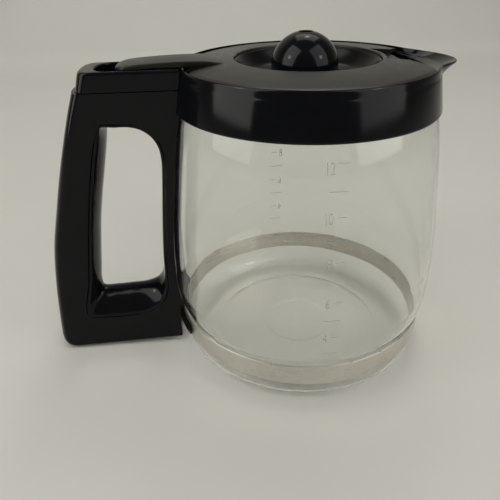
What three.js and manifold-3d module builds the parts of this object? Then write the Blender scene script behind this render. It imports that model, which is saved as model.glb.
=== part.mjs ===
// Glass coffee carafe for a drip coffee maker: a glass jar with a steel base band, a black collar
// with a pouring lip, a hollow closed-loop handle, and a hinged brew-through lid with a thumb tab.
// Units are millimetres. +Z is up, +X points to the pouring lip, -X to the handle.
// The origin is the centre of the jar's flat base, on the surface that the carafe stands on.
import * as THREE from 'three';
import { mergeVertices } from 'three/addons/utils/BufferGeometryUtils.js';
import Module from 'manifold-3d';

const wasm = await Module();
wasm.setup();

// ---- Driving dimensions ------------------------------------------------------------------------
const GAP = 0.3;                 // clearance between touching pieces
const ROUND = 48;                // facets of the large turned pieces
const SMALL_ROUND = 16;          // facets of screws and pins

const JAR_WALL = 2.2;
const BASE_DISC_R = 19.5;        // flat centre disc of the base
const BASE_STEP = 0.7;           // height of the shallow ring between disc and foot
const FOOT_IN_R = 48.3;          // inner and outer edges of the flat foot ring
const FOOT_R = 57.6;
const BASE_ROUND = 10.6;         // corner radius from foot to wall
const BAND_SEAT_R = FOOT_R + BASE_ROUND;
const NECK_R = 57.2;             // outside of the glass neck
const NECK_TOP = 150.2;

const BAND_LOW = 14.5;
const BAND_HIGH = 25.9;
const BAND_THICK = 0.6;

const COLLAR_LOW = 135.9;
const RIM = 155.7;               // top plane of the collar and of the handle arm
const COLLAR_R_LOW = 63.9;
const COLLAR_R_RIM = 60.5;
const LEDGE = 153.4;             // step inside the rim that the lid rests on
const LEDGE_IN_R = 56.3;
const SEAL_SEAT_R = 58.8;        // inside of the collar around the seal and the glass neck
const SEAL_SEAT_TOP = 151.4;

const SPOUT_HALF_ANGLE = THREE.MathUtils.degToRad(25);
const SPOUT_REACH = 11.2;        // how far the lip stands out from the collar
const SPOUT_DROOP = 0.9;         // how far the lip's tip hangs below the rim

const HANDLE_HALF = 12.5;
const SEAM = 146.5;              // joint between the handle body and its top arm
const ARM_END = -105.6;
const END_ROUND = 6;             // length of the rounded back, in plan
const END_POWER = 2.6;           // superellipse power of that rounding
const TROUGH_HALF = 10.7;
const TROUGH_END = -98.9;
const TROUGH_FLOOR = 134.3;

const HINGE = { x: -68, z: 150, r: 1.5 };
const BARREL_R = 3.3;
const TAB_HALF = 10.1;
const TAB_END = -89.4;
const TAB_TOP = 158.3;

const LID_R = 58.4;
const LID_POCKET_R = 59.4;       // inside of the collar's rim, clear of the lid as it swings up
const LID_EDGE_R = 56.4;         // where the lid's top turns down to its outer edge
const LID_EDGE_TOP = 155.4;
const DISH_R = 34.5;             // inner edge of the lid's sloping top
const DISH_RIM_TOP = 157.5;
const DISH_FLOOR = 148.2;
const KNOB_X = -1.2;
const KNOB_R = 15.9;
const KNOB_TOP = 168.6;
const KNOB_HOLE_R = 3.3;
const SKIRT_R = 54.4;            // outside of the skirt that hangs inside the collar's ledge
const STEP_HALF = 14;            // sunk step in the lid's top, in front of the pouring lip
const STEP_IN_R = 36.4;
const STEP_END = 44.7;
const STEP_FLOOR = 154.6;

// ---- Solid helpers -----------------------------------------------------------------------------
function signedVolume(geometry) {
  const p = geometry.getAttribute('position');
  const index = geometry.index.array;
  const [a, b, c] = [new THREE.Vector3(), new THREE.Vector3(), new THREE.Vector3()];
  let sum = 0;
  for (let i = 0; i < index.length; i += 3) {
    a.fromBufferAttribute(p, index[i]);
    b.fromBufferAttribute(p, index[i + 1]);
    c.fromBufferAttribute(p, index[i + 2]);
    sum += a.dot(b.cross(c));
  }
  return sum / 6;
}

function toSolid(source) {
  const bare = source.clone();
  bare.deleteAttribute('normal');
  bare.deleteAttribute('uv');
  const merged = mergeVertices(bare, 1e-4);
  const triVerts = Uint32Array.from(merged.index.array);
  if (signedVolume(merged) < 0) {
    triVerts.reverse();
  }
  const vertProperties = Float32Array.from(merged.getAttribute('position').array);
  return new wasm.Manifold(new wasm.Mesh({ numProp: 3, vertProperties, triVerts }));
}

function toGeometry(solid) {
  const mesh = solid.getMesh();
  const geometry = new THREE.BufferGeometry();
  geometry.setAttribute('position', new THREE.BufferAttribute(mesh.vertProperties, 3));
  geometry.setIndex(new THREE.BufferAttribute(mesh.triVerts, 1));
  geometry.computeVertexNormals();
  return geometry;
}

const joined = (first, ...others) => others.reduce((sum, other) => sum.add(other), first);
const cut = (first, ...others) => others.reduce((rest, other) => rest.subtract(other), first);
const vectors = (pairs) => pairs.map(([x, y]) => new THREE.Vector2(x, y));
const pairsOf = (points) => points.map((p) => [p.x, p.y]);

// A body turned about Z from a closed or axis-to-axis profile of [radius, height].
function turned(profile, facets = ROUND) {
  const geometry = new THREE.LatheGeometry(vectors(profile), facets);
  return toSolid(geometry.rotateX(Math.PI / 2));
}

function closedTurned(profile, facets = ROUND) {
  return turned([...profile, profile[0]], facets);
}

// An outline of [x, z] pairs extruded along Y from one side to the other.
function acrossY(outline, low, high) {
  const shape = new THREE.Shape(vectors(outline));
  const geometry = new THREE.ExtrudeGeometry(shape, { depth: high - low, bevelEnabled: false });
  return toSolid(geometry.rotateX(Math.PI / 2).translate(0, high, 0));
}

// As acrossY, centred, with rounded edges of radius bevel.
function roundedAcrossY(outline, half, bevel, steps = 3) {
  const geometry = new THREE.ExtrudeGeometry(new THREE.Shape(vectors(outline)), {
    depth: 2 * (half - bevel),
    bevelThickness: bevel,
    bevelSize: bevel,
    bevelOffset: -bevel,
    bevelSegments: steps,
  });
  return toSolid(geometry.rotateX(Math.PI / 2).translate(0, half - bevel, 0));
}

// An outline of [x, y] pairs extruded upwards.
function upright(outline, low, high) {
  const shape = new THREE.Shape(vectors(outline));
  const geometry = new THREE.ExtrudeGeometry(shape, { depth: high - low, bevelEnabled: false });
  return toSolid(geometry.translate(0, 0, low));
}

function box(x0, x1, y0, y1, z0, z1) {
  const geometry = new THREE.BoxGeometry(x1 - x0, y1 - y0, z1 - z0);
  return toSolid(geometry.translate((x0 + x1) / 2, (y0 + y1) / 2, (z0 + z1) / 2));
}

function rod(radius, length, axis, centre, facets = SMALL_ROUND) {
  const geometry = new THREE.CylinderGeometry(radius, radius, length, facets);
  const turn = new THREE.Quaternion().setFromUnitVectors(new THREE.Vector3(0, 1, 0), axis);
  return toSolid(geometry.applyQuaternion(turn).translate(...centre));
}

// A body skinned over rings of equally many points, capped at both ends.
function lofted(rings) {
  const count = rings[0].length;
  const positions = rings.flat().flatMap((p) => [p.x, p.y, p.z]);
  const index = [];
  for (let r = 0; r + 1 < rings.length; r += 1) {
    for (let i = 0; i < count; i += 1) {
      const j = (i + 1) % count;
      const [a, b, c, d] = [r * count + i, r * count + j, (r + 1) * count + j, (r + 1) * count + i];
      index.push(a, b, c, a, c, d);
    }
  }
  const addCap = (ring, base, flip) => {
    const middle = ring.reduce((sum, p) => sum.add(p), new THREE.Vector3()).divideScalar(count);
    const centre = positions.length / 3;
    positions.push(middle.x, middle.y, middle.z);
    for (let i = 0; i < count; i += 1) {
      const j = (i + 1) % count;
      index.push(...(flip ? [base + j, base + i, centre] : [base + i, base + j, centre]));
    }
  };
  addCap(rings[0], 0, true);
  addCap(rings.at(-1), (rings.length - 1) * count, false);
  const geometry = new THREE.BufferGeometry();
  geometry.setAttribute('position', new THREE.Float32BufferAttribute(positions, 3));
  geometry.setIndex(index);
  return toSolid(geometry);
}

// A closed ring about Z whose closed section of [radius, height] points changes with the angle.
function ringOfSections(angles, sectionAt) {
  const sections = angles.map((angle) => sectionAt(angle).map(([r, z]) => (
    [r * Math.cos(angle), r * Math.sin(angle), z]
  )));
  const count = sections[0].length;
  const index = [];
  sections.forEach((_, s) => {
    const next = (s + 1) % sections.length;
    for (let i = 0; i < count; i += 1) {
      const j = (i + 1) % count;
      const [a, b, c, d] = [s * count + i, s * count + j, next * count + j, next * count + i];
      index.push(a, b, c, a, c, d);
    }
  });
  const geometry = new THREE.BufferGeometry();
  geometry.setAttribute('position', new THREE.Float32BufferAttribute(sections.flat(2), 3));
  geometry.setIndex(index);
  return toSolid(geometry);
}

// Moves each point of a closed outline outwards by distance (the outline may run either way).
function grown(outline, distance) {
  const area = THREE.ShapeUtils.area(vectors(outline));
  const side = Math.sign(area);
  return outline.map(([x, z], i) => {
    const [x0, z0] = outline.at(i - 1);
    const [x1, z1] = outline[(i + 1) % outline.length];
    const length = Math.hypot(x1 - x0, z1 - z0);
    return [x + (side * distance * (z1 - z0)) / length, z - (side * distance * (x1 - x0)) / length];
  });
}

function smoothed(keys, count, closed = false) {
  const curve = new THREE.CatmullRomCurve3(
    keys.map(([x, z]) => new THREE.Vector3(x, z, 0)),
    closed,
    'centripetal',
  );
  const last = closed ? count : count - 1;
  return Array.from({ length: count }, (_, i) => {
    const p = curve.getPoint(i / last);
    return [p.x, p.y];
  });
}

// ---- Materials ---------------------------------------------------------------------------------
const GLOSS_BLACK = { color: 0x0b0b0d, roughness: 0.16, metalness: 0 };
const SATIN_BLACK = { color: 0x131313, roughness: 0.34, metalness: 0 };
const CLEAR_GLASS = {
  color: 0xdfe6e2, roughness: 0.03, metalness: 0, transparent: true, opacity: 0.3,
};
const BRUSHED_STEEL = { color: 0x9a958b, roughness: 0.32, metalness: 1 };
const SCREW_STEEL = { color: 0xb4b4b2, roughness: 0.3, metalness: 1 };
const SEAL_RUBBER = { color: 0x2a2a2a, roughness: 0.85, metalness: 0 };

const group = new THREE.Group();

function add(name, solid, look) {
  const mesh = new THREE.Mesh(toGeometry(solid), new THREE.MeshStandardMaterial(look));
  mesh.name = name;
  group.add(mesh);
}

// ---- Glass jar ---------------------------------------------------------------------------------
// The outside from the top of the band seat up to the shoulder, as [radius, height].
const JAR_SIDE = [
  [BAND_SEAT_R, 26.6], [70.2, 32], [71.4, 40], [71.7, 50], [71.2, 62], [70.3, 76],
  [68.9, 89], [66.7, 108.4], [64.6, 124], [62.9, 132], [61, 138.6],
];

function jarOutside() {
  const corner = new THREE.Path();
  corner.absarc(FOOT_R, BASE_ROUND, BASE_ROUND, -Math.PI / 2, 0, false);
  return [
    [0, 0],
    [BASE_DISC_R, 0],
    [BASE_DISC_R + 1, BASE_STEP],
    [FOOT_IN_R - 1.2, BASE_STEP],
    [FOOT_IN_R, 0],
    ...pairsOf(corner.getPoints(4)),
    ...smoothed(JAR_SIDE, 10),
    [58.9, 141.8],
    [NECK_R, 144.6],
    [NECK_R, NECK_TOP - 0.5],
    [NECK_R - 0.5, NECK_TOP],
  ];
}

function jarInside() {
  const floor = 3.2;
  const corner = new THREE.Path();
  const inRound = BASE_ROUND - JAR_WALL;
  corner.absarc(FOOT_R, floor + inRound, inRound, 0, -Math.PI / 2, true);
  const side = smoothed(JAR_SIDE, 8).map(([r, z]) => [r - JAR_WALL, z]).reverse();
  return [
    [NECK_R - JAR_WALL + 0.5, NECK_TOP],
    [NECK_R - JAR_WALL, NECK_TOP - 0.5],
    [NECK_R - JAR_WALL, 144],
    [57, 140.8],
    ...side,
    ...pairsOf(corner.getPoints(3)),
    [0, floor],
  ];
}

add('glass_jar', turned([...jarOutside(), ...jarInside()]), CLEAR_GLASS);

// Outer profile of the jar side grown by a distance, for cutting the pieces that hug it.
function jarKeepOut(distance) {
  const side = smoothed(JAR_SIDE, 10).map(([r, z]) => [r + distance, z]);
  return turned([
    [0, -5],
    [BAND_SEAT_R + distance, -5],
    ...side,
    [COLLAR_R_LOW - 1.8, COLLAR_LOW + 3],
    [0, COLLAR_LOW + 3],
  ]);
}

// ---- Base band and its clamp -------------------------------------------------------------------
const BAND_IN = BAND_SEAT_R + GAP;
const BAND_OUT = BAND_IN + BAND_THICK;
const EAR = { end: -83, inner: 1.3, thick: 0.8, low: 16, high: 24.4 };
const CLAMP = { x: -79.4, z: 20.2, r: 1.5 };
const ALONG_X = new THREE.Vector3(1, 0, 0);
const ALONG_Y = new THREE.Vector3(0, 1, 0);

function makeBand() {
  const hoop = closedTurned([
    [BAND_IN, BAND_LOW], [BAND_OUT, BAND_LOW], [BAND_OUT, BAND_HIGH], [BAND_IN, BAND_HIGH],
  ]);
  const split = box(-75, -60, -EAR.inner, EAR.inner, BAND_LOW - 1, BAND_HIGH + 1);
  const ears = [-1, 1].map((side) => {
    const [y0, y1] = [side * EAR.inner, side * (EAR.inner + EAR.thick)].sort((a, b) => a - b);
    return box(EAR.end, -BAND_IN - 0.2, y0, y1, EAR.low, EAR.high);
  });
  const hole = rod(CLAMP.r + 0.2, 20, ALONG_Y, [CLAMP.x, 0, CLAMP.z]);
  return cut(joined(hoop, ...ears), split, hole);
}

add('jar_band', makeBand(), BRUSHED_STEEL);

// The shoe behind the band: a curved wedge that tapers away on both sides of the handle foot.
const SHOE_HALF_ANGLE = THREE.MathUtils.degToRad(22);
const SHOE_R = 71.4;

function shoeOutline(inner, outer, tip) {
  const steps = 16;
  const angleAt = (i) => Math.PI - SHOE_HALF_ANGLE + (2 * SHOE_HALF_ANGLE * i) / steps;
  const outside = [];
  const inside = [];
  for (let i = 0; i <= steps; i += 1) {
    const along = Math.abs(2 * i / steps - 1);
    const radius = THREE.MathUtils.lerp(outer, tip, THREE.MathUtils.smoothstep(along, 0.35, 1));
    outside.push([radius * Math.cos(angleAt(i)), radius * Math.sin(angleAt(i))]);
    inside.unshift([inner * Math.cos(angleAt(i)), inner * Math.sin(angleAt(i))]);
  }
  return [...outside, ...inside];
}

function makeShoe() {
  const block = upright(shoeOutline(BAND_OUT + GAP, SHOE_R, BAND_OUT + 1.5), 14, 26.4);
  const slot = box(-80, -60, -2.6, 2.6, EAR.low - 0.4, EAR.high + 0.4);
  const trims = [-1, 1].flatMap((side) => {
    const [y0, y1] = [side * 11.5, side * 40].sort((a, b) => a - b);
    return [box(-80, -50, y0, y1, 10, 16.2), box(-80, -50, y0, y1, 21.6, 30)];
  });
  return cut(block, slot, ...trims);
}

add('band_bracket', makeShoe(), GLOSS_BLACK);

function makeClampScrew() {
  const shank = rod(CLAMP.r, 9.2, ALONG_Y, [CLAMP.x, 0.6, CLAMP.z]);
  const head = rod(2.9, 2, ALONG_Y, [CLAMP.x, -4.4, CLAMP.z]);
  const slot = box(CLAMP.x - 4, CLAMP.x + 4, -6, -4.7, CLAMP.z - 0.4, CLAMP.z + 0.4);
  return cut(joined(shank, head), slot);
}

add('band_screw', makeClampScrew(), SCREW_STEEL);

const clampNut = rod(3, 2.2, ALONG_Y, [CLAMP.x, 3.8, CLAMP.z], 6);
add('band_nut', cut(clampNut, rod(CLAMP.r + 0.1, 6, ALONG_Y, [CLAMP.x, 3.8, CLAMP.z])), SCREW_STEEL);

// ---- Handle ------------------------------------------------------------------------------------
// Outer edge from the seam down to the foot, as [x, z].
const GRIP_BACK = [
  [-110.2, SEAM], [-114.3, 135.6], [-122.6, 110.4], [-129.3, 87], [-134.6, 66.8], [-138.7, 42],
  [-141, 21],
];
const FOOT_CORNER = [[-142, 9], [-141.7, 5.2], [-140.6, 2.9], [-138.6, 1.9]];
const FOOT_SLOPE = 0.035;        // the foot's underside rises towards the jar
const FOOT_END = -71;

// Edge of the finger opening on the side faces, and on the handle's middle plane, point by point.
const OPENING_SIDE = [
  [-99.4, 131.8], [-92, 131.9], [-85.5, 131.8], [-79.4, 130], [-74.6, 126.2], [-71.6, 120.4],
  [-70.8, 113], [-71.4, 104], [-73.7, 79.5], [-75.4, 58.7], [-75.9, 46], [-76.9, 36.6],
  [-80.4, 28.9], [-88.5, 23.4], [-98, 21.8], [-110, 21.5], [-121.4, 22.2], [-122.9, 26.5],
  [-118.8, 44.3], [-115.6, 63.4], [-112.8, 79], [-109.6, 95.1], [-106.2, 109.8], [-101.5, 126.8],
];
const OPENING_MIDDLE = [
  [-97.9, 129.2], [-92, 129.4], [-86.3, 129.2], [-80.8, 127.4], [-76.8, 123.9], [-73.9, 118.6],
  [-73, 112], [-73.6, 103], [-76, 79], [-77.6, 58.7], [-78, 49], [-79.2, 43.4],
  [-82.6, 38.2], [-89, 35.7], [-98, 35], [-106, 34.6], [-113.6, 34.9], [-114.6, 38.4],
  [-113.2, 50], [-111.2, 63.4], [-109, 77], [-105.8, 92], [-102.4, 106], [-98.8, 122],
];
const OPENING_COUNT = 40;
const LINER_HALF = HANDLE_HALF - 0.35;

const openingSide = smoothed(OPENING_SIDE, OPENING_COUNT, true);
const openingMiddle = smoothed(OPENING_MIDDLE, OPENING_COUNT, true);

// The finger space: its edge swells towards the middle plane, so the hand meets a rounded surface.
function fingerSpace() {
  const stations = [-HANDLE_HALF - 0.4, -10.8, -8, -4.2, 0, 4.2, 8, 10.8, HANDLE_HALF + 0.4];
  const side = grown(openingSide, -1.1);
  return lofted(stations.map((y) => {
    const swell = Math.max(0, 1 - (y / HANDLE_HALF) ** 2);
    return side.map(([x, z], i) => {
      const [mx, mz] = openingMiddle[i];
      return new THREE.Vector3(x, y, z).lerp(new THREE.Vector3(mx, y, mz), swell);
    });
  }));
}

// Trough for the thumb tab: straight sides and a round outer end, in plan.
function troughOutline() {
  const end = new THREE.Path();
  end.absellipse(TROUGH_END + 7, 0, 7, TROUGH_HALF, Math.PI / 2, (3 * Math.PI) / 2, false);
  return [[-60, TROUGH_HALF], ...pairsOf(end.getPoints(8)), [-60, -TROUGH_HALF]];
}

// Plan section of the handle: straight sides from the jar to a rounded back at x = backX.
// A slope tilts the section about its back, as at the foot.
function handleSection(backX, z, jarX, slope = 0) {
  const steps = 16;
  const ring = [new THREE.Vector3(jarX, HANDLE_HALF, z)];
  for (let i = 0; i <= steps; i += 1) {
    const angle = (Math.PI * i) / steps;
    const [c, s] = [Math.cos(angle), Math.sin(angle)];
    const y = HANDLE_HALF * Math.sign(c) * Math.abs(c) ** (2 / END_POWER);
    ring.push(new THREE.Vector3(backX + END_ROUND * (1 - s ** (2 / END_POWER)), y, z));
  }
  ring.push(new THREE.Vector3(jarX, -HANDLE_HALF, z));
  ring.forEach((p) => { p.z += slope * (p.x - backX); });
  return ring;
}

function makeHandleBody() {
  const back = smoothed(GRIP_BACK, 12);
  const blank = lofted([
    ...back.map(([x, z]) => handleSection(x, z, -62)),
    ...FOOT_CORNER.map(([x, z]) => handleSection(x, z, -62, FOOT_SLOPE)),
  ].reverse());
  const jarSide = box(FOOT_END, -40, -20, 20, -5, BAND_LOW - 0.6);
  const opening = acrossY(grown(openingSide, GAP), -HANDLE_HALF - 1, HANDLE_HALF + 1);
  const trough = upright(troughWithin(-66.6), TROUGH_FLOOR, SEAM + 2);
  const hollow = acrossY(hollowOutline(back), -9.2, 9.2);
  const bandRoom = turned([
    [0, 13.7], [SHOE_R + GAP, 13.7], [SHOE_R + GAP, 26.7], [0, 26.7],
  ]);
  const clampRoom = box(-85, -69, -8, 8, 15, 25.6);
  const collarRoom = turned(collarKeepOut());
  const screwHoles = COLLAR_SCREWS.map(([, y]) => rod(1.6, 12, ALONG_X, [-66, y, COLLAR_SCREW_Z]));
  return cut(
    blank, jarSide, opening, trough, hollow, bandRoom, clampRoom,
    jarKeepOut(0.5), collarRoom, ...screwHoles,
  );
}

function troughWithin(jarEnd) {
  return troughOutline().map(([x, y]) => [Math.min(x, jarEnd), y]);
}

// Moulded hollow inside the grip and the foot, open towards the liner.
function hollowOutline(back) {
  const skin = 3.4;
  const outside = back.filter(([, z]) => z < 122).map(([x, z]) => [x + skin, z]);
  return [
    [-108, 122.5], ...outside, [-137.6, 9], [-135.4, 6], [-93, 7.4], [-93, 23.5], [-121, 24],
    [-116, 44], [-112.6, 63], [-106, 95], [-101.5, 112], [-98.6, 122.5],
  ];
}

// ---- Collar ------------------------------------------------------------------------------------
const COLLAR_SCREWS = [['left', 5.2], ['right', -5.2]];
const COLLAR_SCREW_Z = 140.4;

function collarKeepOut() {
  return [
    [0, COLLAR_LOW - 0.4],
    [COLLAR_R_LOW + GAP, COLLAR_LOW - 0.4],
    [COLLAR_R_RIM + GAP, RIM],
    [COLLAR_R_RIM + GAP, RIM + 6],
    [0, RIM + 6],
  ];
}

// How far the lip is developed at an angle about Z: 1 on the pouring line, 0 away from the lip.
function bulgeAt(angle) {
  const along = angle / SPOUT_HALF_ANGLE;
  return Math.abs(along) < 1 ? Math.cos((along * Math.PI) / 2) ** 1.7 : 0;
}

function collarSection(angle) {
  const bulge = bulgeAt(angle);
  const reach = SPOUT_REACH * bulge;
  const droop = SPOUT_DROOP * bulge;
  return [
    [COLLAR_R_LOW - 0.4, COLLAR_LOW],
    [COLLAR_R_LOW, COLLAR_LOW + 0.6],
    [COLLAR_R_RIM + 0.75, RIM - 4.2 - 2.2 * bulge],
    [COLLAR_R_RIM + 0.45 + 0.48 * reach, RIM - 3.6 - 0.8 * bulge],
    [COLLAR_R_RIM + reach, RIM - 0.7 - droop],
    [COLLAR_R_RIM - 0.5 + reach, RIM - droop],
    [LID_POCKET_R + 0.1 + 0.97 * reach, RIM - 1.08 * droop],
    [LID_POCKET_R + 0.36 * reach, LEDGE - 0.6 * bulge],
    [LEDGE_IN_R, LEDGE - bulge],
    [LEDGE_IN_R, SEAL_SEAT_TOP],
    [SEAL_SEAT_R, SEAL_SEAT_TOP],
    [SEAL_SEAT_R, 144.2],
    [61, 141.2],
    [COLLAR_R_LOW - 1.6, COLLAR_LOW],
  ];
}

function makeCollar() {
  const lipSteps = 14;
  const restSteps = 42;
  const restAngle = 2 * (Math.PI - SPOUT_HALF_ANGLE);
  const angles = [
    ...Array.from({ length: lipSteps }, (_, i) => SPOUT_HALF_ANGLE * ((2 * i) / lipSteps - 1)),
    ...Array.from({ length: restSteps }, (_, i) => SPOUT_HALF_ANGLE + (restAngle * i) / restSteps),
  ];
  const shell = ringOfSections(angles, (angle) => collarSection(angle));
  const screwHoles = COLLAR_SCREWS.map(([, y]) => rod(1.6, 12, ALONG_X, [-66, y, COLLAR_SCREW_Z]));
  return cut(shell, ...screwHoles);
}

add('collar', makeCollar(), GLOSS_BLACK);

// The seal wraps the top of the neck: a sleeve outside the glass and a flange over its rim.
const SEAL_LOW = 144.9;
const sealProfile = [
  [NECK_R + GAP, SEAL_LOW],
  [SEAL_SEAT_R - GAP, SEAL_LOW],
  [SEAL_SEAT_R - GAP, SEAL_SEAT_TOP - GAP],
  [55.6, SEAL_SEAT_TOP - GAP],
  [55.6, NECK_TOP + GAP],
  [NECK_R + GAP, NECK_TOP + GAP],
];
add('collar_seal', closedTurned(sealProfile), SEAL_RUBBER);

COLLAR_SCREWS.forEach(([side, y]) => {
  const shank = rod(1.35, 5.4, ALONG_X, [-64.9, y, COLLAR_SCREW_Z]);
  const head = rod(2.7, 1.8, ALONG_X, [-67.8, y, COLLAR_SCREW_Z]);
  const slot = box(-70, -68.1, y - 3, y + 3, COLLAR_SCREW_Z - 0.4, COLLAR_SCREW_Z + 0.4);
  add(`collar_screw_${side}`, cut(joined(shank, head), slot), SCREW_STEEL);
});

add('handle_body', makeHandleBody(), GLOSS_BLACK);

function makeLiner() {
  const blank = acrossY(openingSide, -LINER_HALF, LINER_HALF);
  return cut(blank, fingerSpace());
}

add('handle_liner', makeLiner(), SATIN_BLACK);

const PIN_HALF = 11.6;

// The arm closes the top of the handle and carries the hinge pin between its side walls.
function makeArm() {
  const levels = [
    [ARM_END - 3, SEAM + GAP],
    [ARM_END - 1.2, RIM - 3],
    [ARM_END - 0.5, RIM - 1],
    [ARM_END + 0.2, RIM - 0.3],
    [ARM_END + 0.9, RIM],
  ];
  const blank = lofted(levels.map(([x, z]) => handleSection(x, z, -55)));
  const trough = upright(troughOutline(), SEAM - 2, RIM + 5);
  const pinHole = rod(HINGE.r + 0.12, 2 * PIN_HALF + 0.6, ALONG_Y, [HINGE.x, 0, HINGE.z]);
  return cut(blank, trough, turned(collarKeepOut()), pinHole);
}

add('handle_bridge', makeArm(), GLOSS_BLACK);
add('hinge_pin', rod(HINGE.r, 2 * PIN_HALF, ALONG_Y, [HINGE.x, 0, HINGE.z]), SCREW_STEEL);

// ---- Lid ---------------------------------------------------------------------------------------
const mirrored = (half) => [...half, ...half.map(([x, y]) => [x, -y]).reverse()];

// Cut-out in the lid's edge that leaves the pouring lip open.
const notchOutline = mirrored([[STEP_END, -14.5], [49.9, -22.8], [54, -29], [70, -46]]);

function makeLidCover() {
  const thick = 2.1;
  const top = closedTurned([
    [DISH_R, DISH_RIM_TOP - thick],
    [LID_R - 3, LEDGE + GAP + 0.3],
    [LID_R - 0.6, LEDGE + GAP],
    [LID_R, LEDGE + GAP + 0.3],
    [LID_R, LEDGE + GAP + 0.6],
    [LID_R - 0.6, LID_EDGE_TOP - 0.6],
    [LID_EDGE_R, LID_EDGE_TOP],
    [50, 156.4],
    [42, 157.15],
    [DISH_R + 0.6, DISH_RIM_TOP],
    [DISH_R, DISH_RIM_TOP - 0.5],
  ]);
  const tabProfile = [
    [-38, 156.9], [-46, TAB_TOP], [-60, TAB_TOP + 0.3], [-72, TAB_TOP - 0.1], [-82, TAB_TOP - 0.8],
    [TAB_END + 1, TAB_TOP - 1.7], [TAB_END, TAB_TOP - 2.4], [TAB_END + 0.5, TAB_TOP - 4],
    [-72, RIM + 0.2], [-56, RIM], [-38, 155.6],
  ];
  const tab = roundedAcrossY(tabProfile, TAB_HALF, 0.7, 2);
  const rounding = new THREE.Path();
  rounding.absellipse(TAB_END + 6, 0, 6, TAB_HALF + 0.4, Math.PI / 2, (3 * Math.PI) / 2, false);
  const planOutline = [
    [0, TAB_HALF + 0.4], ...pairsOf(rounding.getPoints(10)), [0, -TAB_HALF - 0.4],
  ];
  const plan = upright(planOutline, 100, 200);
  const barrel = rod(BARREL_R, 2 * 9.6, ALONG_Y, [HINGE.x, 0, HINGE.z]);
  const web = box(HINGE.x - 2.4, HINGE.x + 2.4, -9.6, 9.6, HINGE.z, RIM + 1.5);
  const pinHole = rod(HINGE.r + 0.1, 40, ALONG_Y, [HINGE.x, 0, HINGE.z]);
  const notch = upright(notchOutline, 140, 170);
  const stepPlate = cut(
    box(30, STEP_END, -STEP_HALF - 1.4, STEP_HALF + 1.4, STEP_FLOOR - 1.6, 155.4),
    turned([[0, 140], [DISH_R, 140], [DISH_R, 170], [0, 170]]),
  );
  const stepRoom = cut(
    box(30, STEP_END + 5, -STEP_HALF, STEP_HALF, STEP_FLOOR, 170),
    turned([[0, 140], [STEP_IN_R, 140], [STEP_IN_R, 170], [0, 170]]),
  );
  const edgeY = TAB_HALF + 0.05;
  const relief = [-1, 1].map((side) => upright([
    [-43.5, side * edgeY], [-70, side * edgeY], [-70, side * 25], [-54.2, side * 15.6],
  ], 140, 170));
  const plate = cut(joined(cut(top, ...relief), stepPlate), notch, stepRoom);
  return cut(joined(plate, tab.intersect(plan), barrel, web), pinHole);
}

function makeDish() {
  return closedTurned([
    [DISH_R - GAP, DISH_RIM_TOP - 1.2],
    [DISH_R - 1, DISH_RIM_TOP - 2],
    [32.7, 150.9],
    [31.2, 149.1],
    [28, 148.4],
    [17, DISH_FLOOR],
    [9.8, DISH_FLOOR],
    [9.8, DISH_FLOOR - 1.7],
    [28.3, 146.6],
    [32.4, 147.9],
    [33.9, 150.4],
    [DISH_R - GAP, 154.6],
  ], 36);
}

function makeKnob() {
  const dome = new THREE.Path();
  dome.absellipse(0, 153.4, KNOB_R, KNOB_TOP - 153.4, 0, Math.PI * 0.43, false);
  const hollow = new THREE.Path();
  hollow.absellipse(0, 153.4, KNOB_R - 2, KNOB_TOP - 155.6, Math.PI * 0.41, 0, true);
  return closedTurned([
    [KNOB_R + 0.8, DISH_FLOOR + GAP],
    ...pairsOf(dome.getPoints(7)),
    [KNOB_HOLE_R, KNOB_TOP - 0.2],
    [KNOB_HOLE_R, KNOB_TOP - 2.4],
    ...pairsOf(hollow.getPoints(4)),
    [KNOB_R - 2, DISH_FLOOR + GAP],
  ], 24).translate([KNOB_X, 0, 0]);
}

function makeUnderside() {
  const ring = closedTurned([
    [37, 151.2],
    [50.2, 150.6],
    [50.2, 144.6],
    [52.2, 144.2],
    [SKIRT_R, 146.6],
    [SKIRT_R, 152.4],
    [37, 153.4],
  ]);
  const pourGap = upright(mirrored([[28, -16.2], [45, -16.2], [60, -27]]), 130, 170);
  const holes = LID_SCREWS.map(([x, y]) => rod(1.6, 20, UP, [x, y, 150]));
  return cut(ring, pourGap, ...holes);
}

const UP = new THREE.Vector3(0, 0, 1);
const LID_SCREWS = [70, 180, 290].map((degrees) => {
  const angle = THREE.MathUtils.degToRad(degrees);
  return [44 * Math.cos(angle), 44 * Math.sin(angle)];
});

add('lid_cover', makeLidCover(), SATIN_BLACK);
add('lid_dish', makeDish(), SATIN_BLACK);
add('lid_knob', makeKnob(), GLOSS_BLACK);
add('lid_underside', makeUnderside(), SATIN_BLACK);

LID_SCREWS.forEach(([x, y], i) => {
  const head = rod(2.6, 1.4, UP, [x, y, 150]);
  const shank = rod(1.3, 4.4, UP, [x, y, 152.2]);
  add(`lid_screw_${i + 1}`, joined(head, shank), SCREW_STEEL);
});

export default group;
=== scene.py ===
import math

import bmesh
import bpy
from mathutils import Matrix, Vector


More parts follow.
